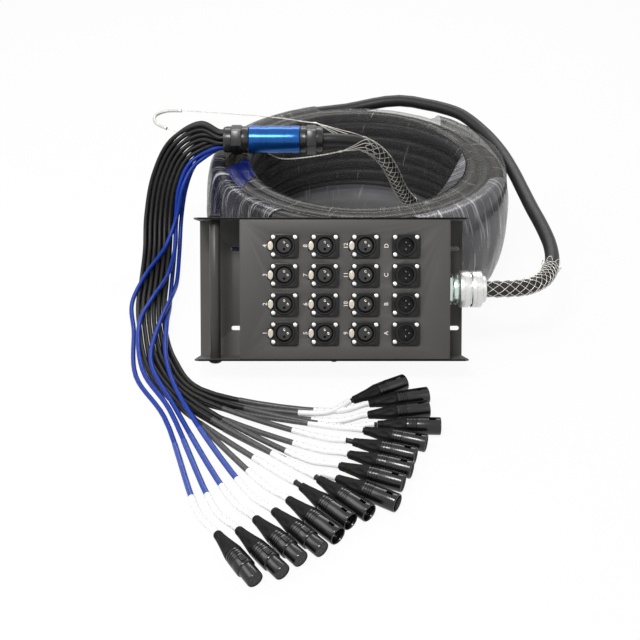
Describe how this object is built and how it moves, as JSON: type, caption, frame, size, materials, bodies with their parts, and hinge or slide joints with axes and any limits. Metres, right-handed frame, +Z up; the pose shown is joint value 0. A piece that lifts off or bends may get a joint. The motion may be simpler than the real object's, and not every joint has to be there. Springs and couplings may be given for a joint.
{
  "type": "stage box snake",
  "caption": "Leaning steel stage box with rows of round panel connectors, a coiled trunk cable, a blue breakout sleeve with a pulling grip, and a fan of tails.",
  "frame": {"origin": "centre of the leaning box's bounding box, on the ground", "axes": "+X along the box's long side towards the trunk gland, +Y back over the coil, +Z up"},
  "size_m": [0.5205, 0.8055, 0.1752],
  "materials": {
    "painted_steel": "fine satin dark grey paint",
    "panel_connector": "satin black die casting",
    "latch_tab": "ivory silver push tab",
    "bare_gland": "bright turned metal",
    "cable_jacket": "matt black jacket",
    "grip_wire": "woven steel wire",
    "gland_plastic": "moulded black",
    "blue_sleeve": "blue anodised, glossy",
    "cable_connector": "satin black shell and ribbed boot",
    "release_button": "moulded black"
  },
  "bodies": {
    "snake": {"back_tray": "painted_steel", "front_cover": "painted_steel", "handle_bar": "painted_steel", "jack_01": "panel_connector", "jack_02": "panel_connector", "jack_03": "panel_connector", "jack_04": "panel_connector", "jack_05": "panel_connector", "jack_06": "panel_connector", "jack_07": "panel_connector", "jack_08": "panel_connector", "jack_09": "panel_connector", "jack_10": "panel_connector", "jack_11": "panel_connector", "jack_12": "panel_connector", "return_a": "panel_connector", "return_b": "panel_connector", "return_c": "panel_connector", "return_d": "panel_connector", "box_gland": "bare_gland", "trunk_lead": "cable_jacket", "trunk_coil": "cable_jacket", "trunk_riser": "cable_jacket", "tails": "cable_jacket", "pulling_grip": "grip_wire", "trunk_gland": "gland_plastic", "fan_gland": "gland_plastic", "breakout_sleeve": "blue_sleeve", "plug_01": "cable_connector", "plug_02": "cable_connector", "plug_03": "cable_connector", "plug_04": "cable_connector", "plug_05": "cable_connector", "plug_06": "cable_connector", "plug_07": "cable_connector", "plug_08": "cable_connector", "plug_09": "cable_connector", "plug_10": "cable_connector", "plug_11": "cable_connector", "plug_12": "cable_connector", "socket_a": "cable_connector", "socket_b": "cable_connector", "socket_c": "cable_connector", "socket_d": "cable_connector"},
    "latch_01_body": {"latch_01": "latch_tab"},
    "latch_02_body": {"latch_02": "latch_tab"},
    "latch_03_body": {"latch_03": "latch_tab"},
    "latch_04_body": {"latch_04": "latch_tab"},
    "latch_05_body": {"latch_05": "latch_tab"},
    "latch_06_body": {"latch_06": "latch_tab"},
    "latch_07_body": {"latch_07": "latch_tab"},
    "latch_08_body": {"latch_08": "latch_tab"},
    "latch_09_body": {"latch_09": "latch_tab"},
    "latch_10_body": {"latch_10": "latch_tab"},
    "latch_11_body": {"latch_11": "latch_tab"},
    "latch_12_body": {"latch_12": "latch_tab"},
    "release_a_body": {"release_a": "release_button"},
    "release_b_body": {"release_b": "release_button"},
    "release_c_body": {"release_c": "release_button"},
    "release_d_body": {"release_d": "release_button"}
  },
  "joints": [
    {"name": "latch_01_press", "type": "slide", "parent": "snake", "child": "latch_01_body", "axis": [0, 0.8572, -0.515], "range_m": [0, 0.0015], "stiffness_N_per_m": 800},
    {"name": "latch_02_press", "type": "slide", "parent": "snake", "child": "latch_02_body", "axis": [0, 0.8572, -0.515], "range_m": [0, 0.0015], "stiffness_N_per_m": 800},
    {"name": "latch_03_press", "type": "slide", "parent": "snake", "child": "latch_03_body", "axis": [0, 0.8572, -0.515], "range_m": [0, 0.0015], "stiffness_N_per_m": 800},
    {"name": "latch_04_press", "type": "slide", "parent": "snake", "child": "latch_04_body", "axis": [0, 0.8572, -0.515], "range_m": [0, 0.0015], "stiffness_N_per_m": 800},
    {"name": "latch_05_press", "type": "slide", "parent": "snake", "child": "latch_05_body", "axis": [0, 0.8572, -0.515], "range_m": [0, 0.0015], "stiffness_N_per_m": 800},
    {"name": "latch_06_press", "type": "slide", "parent": "snake", "child": "latch_06_body", "axis": [0, 0.8572, -0.515], "range_m": [0, 0.0015], "stiffness_N_per_m": 800},
    {"name": "latch_07_press", "type": "slide", "parent": "snake", "child": "latch_07_body", "axis": [0, 0.8572, -0.515], "range_m": [0, 0.0015], "stiffness_N_per_m": 800},
    {"name": "latch_08_press", "type": "slide", "parent": "snake", "child": "latch_08_body", "axis": [0, 0.8572, -0.515], "range_m": [0, 0.0015], "stiffness_N_per_m": 800},
    {"name": "latch_09_press", "type": "slide", "parent": "snake", "child": "latch_09_body", "axis": [0, 0.8572, -0.515], "range_m": [0, 0.0015], "stiffness_N_per_m": 800},
    {"name": "latch_10_press", "type": "slide", "parent": "snake", "child": "latch_10_body", "axis": [0, 0.8572, -0.515], "range_m": [0, 0.0015], "stiffness_N_per_m": 800},
    {"name": "latch_11_press", "type": "slide", "parent": "snake", "child": "latch_11_body", "axis": [0, 0.8572, -0.515], "range_m": [0, 0.0015], "stiffness_N_per_m": 800},
    {"name": "latch_12_press", "type": "slide", "parent": "snake", "child": "latch_12_body", "axis": [0, 0.8572, -0.515], "range_m": [0, 0.0015], "stiffness_N_per_m": 800},
    {"name": "release_a_press", "type": "slide", "parent": "snake", "child": "release_a_body", "axis": [0, 0, -1], "range_m": [0, 0.0015], "stiffness_N_per_m": 800},
    {"name": "release_b_press", "type": "slide", "parent": "snake", "child": "release_b_body", "axis": [0, 0, -1], "range_m": [0, 0.0015], "stiffness_N_per_m": 800},
    {"name": "release_c_press", "type": "slide", "parent": "snake", "child": "release_c_body", "axis": [0, 0, -1], "range_m": [0, 0.0015], "stiffness_N_per_m": 800},
    {"name": "release_d_press", "type": "slide", "parent": "snake", "child": "release_d_body", "axis": [0, 0, -1], "range_m": [0, 0.0015], "stiffness_N_per_m": 800}
  ]
}
